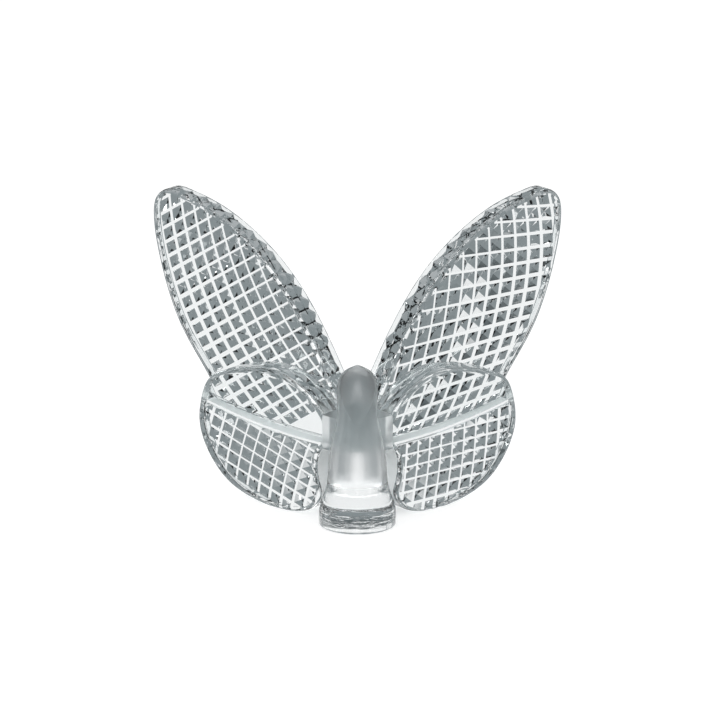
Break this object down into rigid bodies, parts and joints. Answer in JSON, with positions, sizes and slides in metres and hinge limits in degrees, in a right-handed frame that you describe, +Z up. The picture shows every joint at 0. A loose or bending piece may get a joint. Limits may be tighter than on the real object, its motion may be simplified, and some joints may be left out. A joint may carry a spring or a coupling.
{
  "type": "butterfly ornament",
  "caption": "Clear crystal butterfly figurine with swept-back wings, diamond-point cut backs and a flared body that stands on a flat foot.",
  "frame": {"origin": "middle of the body's flat foot, on the surface that the butterfly stands on", "axes": "+Z up, the butterfly faces -Y, +X to the right of someone looking at its front"},
  "size_m": [0.0654, 0.0389, 0.0471],
  "materials": {
    "crystal": "polished"
  },
  "bodies": {
    "root": {"body": "crystal", "left_forewing": "crystal", "right_forewing": "crystal", "left_hindwing": "crystal", "right_hindwing": "crystal"}
  },
  "joints": []
}
